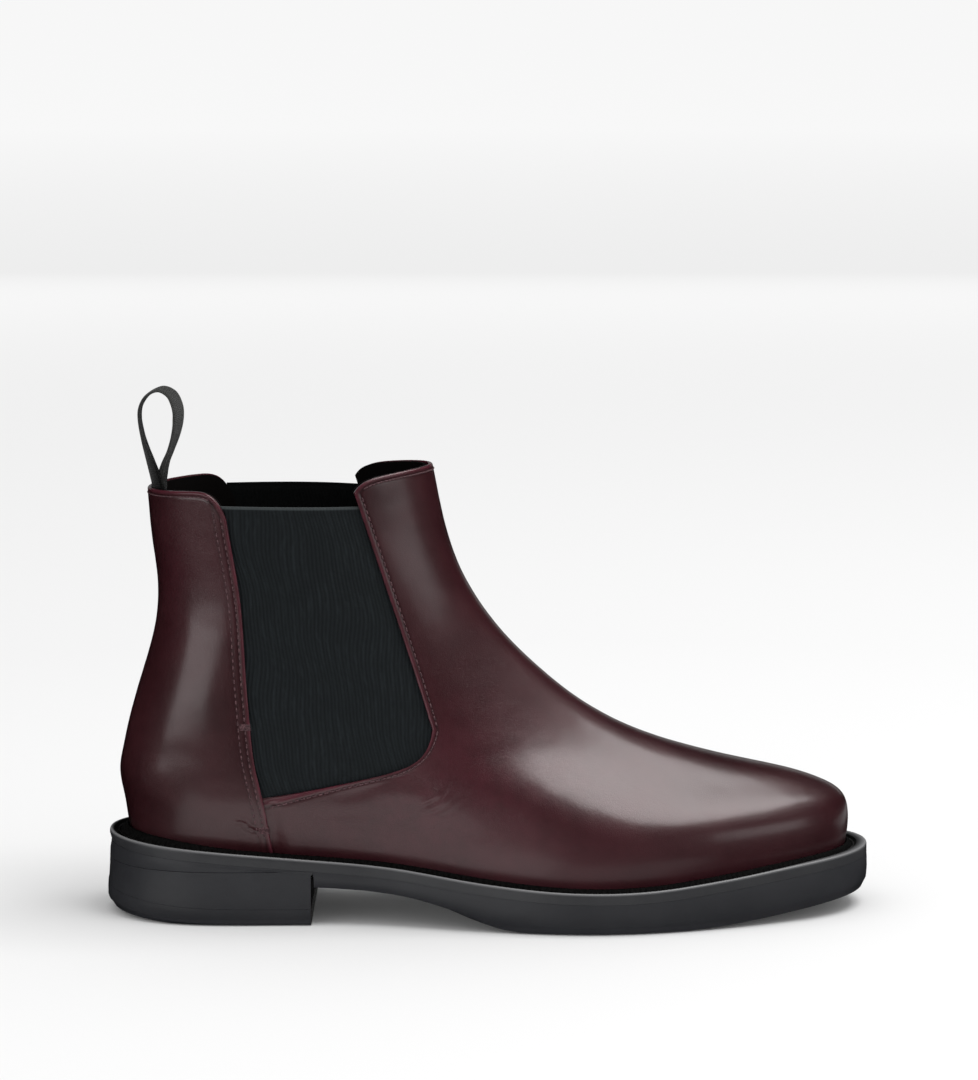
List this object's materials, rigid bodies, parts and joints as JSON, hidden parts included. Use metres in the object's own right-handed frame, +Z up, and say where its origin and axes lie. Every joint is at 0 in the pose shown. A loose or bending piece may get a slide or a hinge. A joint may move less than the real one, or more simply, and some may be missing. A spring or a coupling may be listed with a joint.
{
  "type": "chelsea boot",
  "caption": "Ankle boot with elastic side gores, a webbing pull tab at the heel and a low welted rubber sole.",
  "frame": {"origin": "centre of the boot's bounding box on the ground plane under the sole", "axes": "+X from heel to toe, -Y towards the outer side of a right foot, +Z up"},
  "size_m": [0.3019, 0.1095, 0.2072],
  "materials": {
    "upper_leather": "smooth polished burgundy leather",
    "lining_leather": "black leather lining",
    "stiffener": "stiffened leather board",
    "elastic": "woven elastic webbing, fine ribs",
    "thread": "waxed sewing thread",
    "webbing": "woven tape",
    "welt_rubber": "black rubber, satin",
    "sole_rubber": "black rubber, matte",
    "insole": "leather insole board",
    "cork": "ground cork filler",
    "steel": "plain steel"
  },
  "bodies": {
    "root": {"vamp": "upper_leather", "back_quarter": "upper_leather", "lasting_margin": "upper_leather", "gore_lateral": "elastic", "gore_medial": "elastic", "vamp_lining": "lining_leather", "quarter_lining": "lining_leather", "heel_counter": "stiffener", "toe_puff": "stiffener", "quarter_stitching": "thread", "vamp_stitching": "thread", "collar_stitching": "thread", "seam_bartacks": "thread", "pull_tab_ends": "webbing", "insole_board": "insole", "sock_liner": "lining_leather", "shank": "steel", "bottom_filler": "cork", "welt": "welt_rubber", "welt_stitching": "thread", "outsole": "sole_rubber", "heel_block": "sole_rubber", "heel_top_piece": "sole_rubber", "heel_nails": "steel"},
    "front_shaft": {"vamp_shaft": "upper_leather", "shaft_lining": "lining_leather", "shaft_stitching": "thread"},
    "pull_tab": {"pull_tab": "webbing"}
  },
  "joints": [
    {"name": "collar_open", "type": "hinge", "parent": "root", "child": "front_shaft", "pos_m": [0.0095, 0, 0.1062], "axis": [0, 1, 0], "range_deg": [0, 12], "stiffness_Nm_per_rad": 4, "deforming": ["gore_lateral", "gore_medial"]},
    {"name": "pull_tab_fold", "type": "hinge", "parent": "root", "child": "pull_tab", "pos_m": [-0.1315, 0.0009, 0.1709], "axis": [0, 1, 0], "range_deg": [-60, 60], "stiffness_Nm_per_rad": 0.02}
  ]
}
